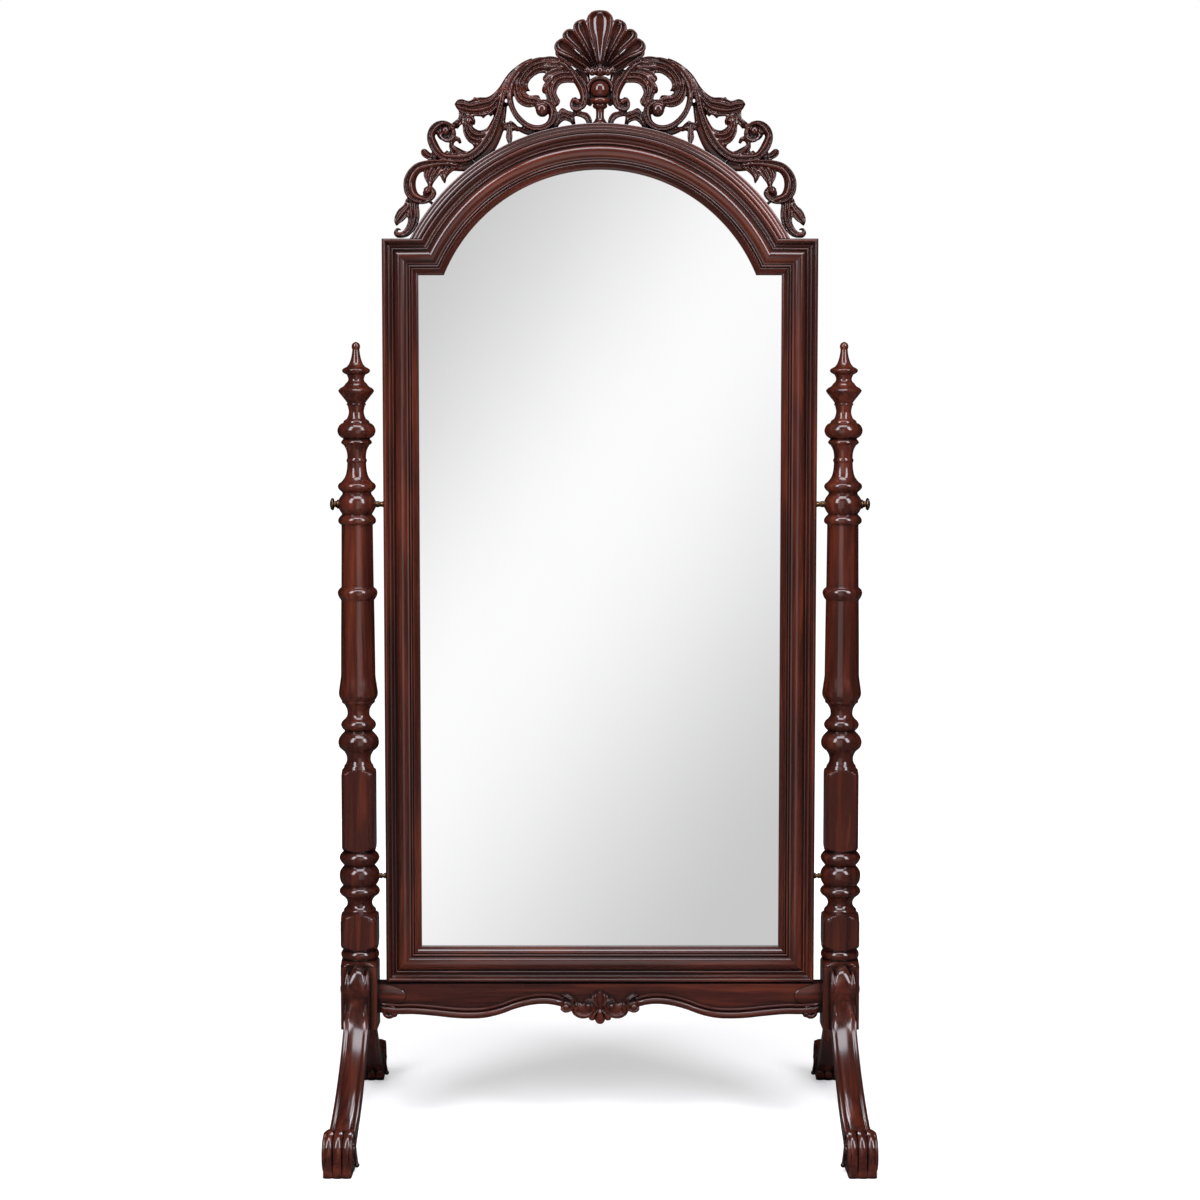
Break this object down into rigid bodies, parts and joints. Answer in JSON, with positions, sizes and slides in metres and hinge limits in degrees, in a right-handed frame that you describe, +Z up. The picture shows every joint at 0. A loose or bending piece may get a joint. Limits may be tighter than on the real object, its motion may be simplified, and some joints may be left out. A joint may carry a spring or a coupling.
{
  "type": "cheval mirror",
  "caption": "Free-standing cheval mirror: an arched moulded frame with a pierced carved crest tilts on clamp knobs between turned posts joined by a shaped rail and standing on scroll feet.",
  "frame": {"origin": "centre of the feet's contact rectangle on the floor, midway between the posts", "axes": "+X to the viewer's right across the mirror, +Y from the front to the back, +Z up"},
  "size_m": [0.9208, 0.651, 1.9],
  "materials": {
    "polished_mahogany": "dark red-brown mahogany under a glossy lacquer",
    "pale_wood": "bare straight-grained hardwood and softwood inside joints",
    "backing_board": "thin board with a thin brown stain",
    "silvered_glass": "clear float glass silvered on the back",
    "antique_brass": "darkened brass, worn brighter on raised edges",
    "steel": "zinc-plated steel"
  },
  "bodies": {
    "stand": {"post_left": "polished_mahogany", "post_right": "polished_mahogany", "finial_left": "polished_mahogany", "finial_right": "polished_mahogany", "leg_front_left": "polished_mahogany", "leg_front_right": "polished_mahogany", "leg_rear_left": "polished_mahogany", "leg_rear_right": "polished_mahogany", "leg_dowels": "pale_wood", "stretcher_rail": "polished_mahogany", "apron_bead_left": "polished_mahogany", "apron_bead_right": "polished_mahogany", "apron_shell": "polished_mahogany", "rail_tongue_left": "polished_mahogany", "rail_tongue_right": "polished_mahogany", "stretcher_bolts": "steel", "barrel_nuts": "steel", "bolt_caps": "antique_brass", "pivot_bush_left": "antique_brass", "pivot_bush_right": "antique_brass", "steady_pin_left": "antique_brass", "steady_pin_right": "antique_brass"},
    "screw_left": {"pivot_screw_left": "antique_brass"},
    "screw_right": {"pivot_screw_right": "antique_brass"},
    "mirror": {"frame_stile_left": "polished_mahogany", "frame_stile_right": "polished_mahogany", "frame_shoulder_left": "polished_mahogany", "frame_shoulder_right": "polished_mahogany", "frame_arch_left": "polished_mahogany", "frame_arch_right": "polished_mahogany", "frame_bottom_rail": "polished_mahogany", "mitre_tongues": "pale_wood", "arch_cap": "polished_mahogany", "mirror_glass": "silvered_glass", "glazing_blocks": "pale_wood", "backboard": "backing_board", "backboard_screws": "steel", "crest_wing_left": "polished_mahogany", "crest_wing_right": "polished_mahogany", "crest_shell": "polished_mahogany", "crest_boss": "polished_mahogany", "crest_dowels": "pale_wood", "pivot_insert_left": "antique_brass", "pivot_insert_right": "antique_brass", "pivot_collar_left": "antique_brass", "pivot_collar_right": "antique_brass"}
  },
  "joints": [
    {"name": "mirror_tilt", "type": "hinge", "parent": "stand", "child": "mirror", "pos_m": [0, 0, 1.072], "axis": [1, 0, 0], "range_deg": [-60, 60]},
    {"name": "left_clamp_turn", "type": "hinge", "parent": "stand", "child": "screw_left", "pos_m": [-0.45, 0, 1.072], "axis": [1, 0, 0], "range_deg": [-360, 0]},
    {"name": "right_clamp_turn", "type": "hinge", "parent": "stand", "child": "screw_right", "pos_m": [0.45, 0, 1.072], "axis": [-1, 0, 0], "range_deg": [-360, 0]}
  ]
}
